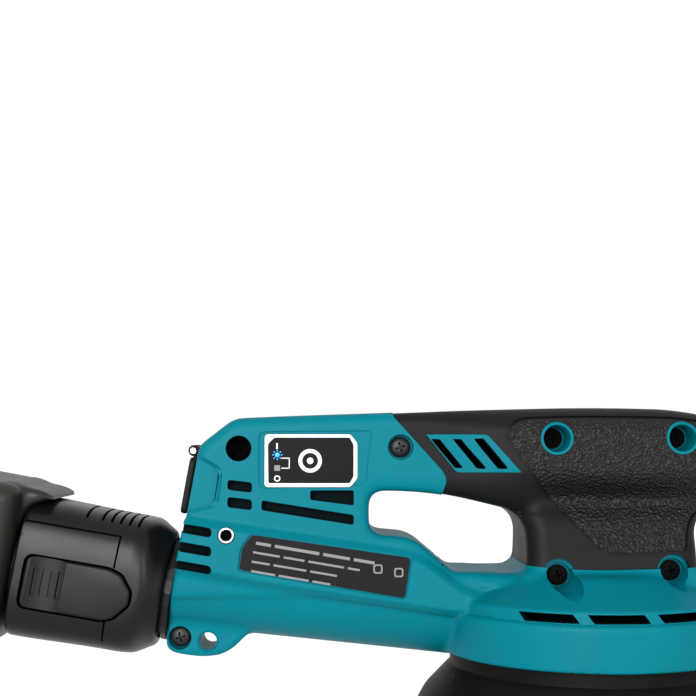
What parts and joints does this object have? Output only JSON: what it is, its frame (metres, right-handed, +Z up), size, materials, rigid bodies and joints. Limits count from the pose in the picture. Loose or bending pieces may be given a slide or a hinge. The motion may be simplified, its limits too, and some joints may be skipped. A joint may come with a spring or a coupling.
{
  "type": "random orbit sander",
  "caption": "Random orbit sander with a round sanding head, a soft palm grip, a ring-shaped rear handle and a clip-on dust box.",
  "frame": {"origin": "centre of the sanding face on the motor axis", "axes": "+X towards the nose, +Z up along the motor axis, the dust box lies towards -X"},
  "size_m": [0.3318, 0.125, 0.1145],
  "materials": {
    "teal_shell": "satin moulded, fine grain",
    "elastomer": "soft matte, fine texture",
    "black_plastic": "satin moulded",
    "cast_aluminium": "die cast",
    "lamination": "stacked sheet steel",
    "copper_wire": "enamelled copper",
    "bearing_steel": "ground",
    "dark_steel": "black oxide",
    "bright_steel": "polished",
    "pad_foam": "closed-cell foam",
    "hook_fabric": "hook and loop",
    "abrasive_paper": "coated abrasive",
    "circuit_board": "solder mask",
    "white_label": "printed film",
    "blue_lens": "clear lens",
    "dark_label": "printed film",
    "filter_paper": "pleated"
  },
  "bodies": {
    "tool_body": {"housing_right": "teal_shell", "housing_left": "teal_shell", "grip_skin_right": "elastomer", "grip_skin_left": "elastomer", "skirt": "elastomer", "bearing_plate": "cast_aluminium", "stator_core": "lamination", "winding_upper": "copper_wire", "winding_lower": "copper_wire", "upper_bearing": "bearing_steel", "lower_bearing": "bearing_steel", "dust_duct": "black_plastic", "outlet_spigot": "black_plastic", "controller": "cast_aluminium", "switch_board": "circuit_board", "power_inlet": "black_plastic", "cap_pin": "bearing_steel", "control_label": "white_label", "status_lens": "blue_lens", "rating_plate": "dark_label", "eyelet": "bright_steel", "screw_rear_top": "dark_steel", "screw_handle": "dark_steel", "screw_grip_rear": "dark_steel", "screw_grip_front": "dark_steel", "screw_neck_rear": "dark_steel", "screw_neck_front": "dark_steel", "screw_lug": "dark_steel"},
    "rotor": {"motor_rotor": "lamination", "motor_shaft": "bearing_steel", "fan": "black_plastic", "counterweight": "bearing_steel", "pad_bearing": "bearing_steel"},
    "pad": {"backing_plate": "black_plastic", "foam_pad": "pad_foam", "hook_face": "hook_fabric", "abrasive_disc": "abrasive_paper", "pad_screw": "dark_steel"},
    "dust_box": {"cuff": "black_plastic", "throat_seal": "elastomer", "box_shell": "black_plastic", "filter_frame": "black_plastic", "filter_cartridge": "filter_paper", "latch_spring_right": "bearing_steel", "latch_spring_left": "bearing_steel", "lid_pin": "bearing_steel"},
    "start_button": {"start_button": "black_plastic"},
    "stop_button": {"stop_button": "black_plastic"},
    "speed_dial": {"speed_dial": "black_plastic"},
    "inlet_cap": {"inlet_cap": "elastomer"},
    "latch_right": {"latch_button_right": "black_plastic"},
    "latch_left": {"latch_button_left": "black_plastic"},
    "lid": {"box_lid": "black_plastic"},
    "lid_latch": {"lid_latch": "black_plastic"}
  },
  "joints": [
    {"name": "rotor_spin", "type": "hinge", "parent": "tool_body", "child": "rotor", "pos_m": [0, 0, 0.04], "axis": [0, 0, 1], "continuous": true},
    {"name": "pad_spin", "type": "hinge", "parent": "rotor", "child": "pad", "pos_m": [0.0014, 0, 0.01], "axis": [0, 0, 1], "continuous": true},
    {"name": "start_button_press", "type": "slide", "parent": "tool_body", "child": "start_button", "axis": [0, 0, -1], "range_m": [0, 0.0012], "stiffness_N_per_m": 500, "springref_m": -0.0005},
    {"name": "stop_button_press", "type": "slide", "parent": "tool_body", "child": "stop_button", "axis": [0, 0, -1], "range_m": [0, 0.0012], "stiffness_N_per_m": 500, "springref_m": -0.0005},
    {"name": "speed_dial_turn", "type": "hinge", "parent": "tool_body", "child": "speed_dial", "pos_m": [-0.0833, 0, 0.108], "axis": [0, 0, 1], "range_deg": [-140, 140]},
    {"name": "inlet_cap_hinge", "type": "hinge", "parent": "tool_body", "child": "inlet_cap", "pos_m": [-0.13917, 0, 0.09954], "axis": [0, 1, 0], "range_deg": [0, 100]},
    {"name": "dust_box_slide", "type": "slide", "parent": "tool_body", "child": "dust_box", "axis": [-0.9848, 0, 0.1736], "range_m": [0, 0.04]},
    {"name": "latch_right_press", "type": "slide", "parent": "dust_box", "child": "latch_right", "axis": [0, 1, 0], "range_m": [0, 0.0013], "stiffness_N_per_m": 600, "springref_m": -0.0005},
    {"name": "latch_left_press", "type": "slide", "parent": "dust_box", "child": "latch_left", "axis": [0, -1, 0], "range_m": [0, 0.0013], "stiffness_N_per_m": 600, "springref_m": -0.0005},
    {"name": "lid_hinge", "type": "hinge", "parent": "dust_box", "child": "lid", "pos_m": [-0.25287, 0, 0.10202], "axis": [0, 1, 0], "range_deg": [0, 110]},
    {"name": "lid_latch_turn", "type": "hinge", "parent": "lid", "child": "lid_latch", "pos_m": [-0.2643, 0, 0.05448], "axis": [0, 1, 0], "range_deg": [0, 35]}
  ]
}
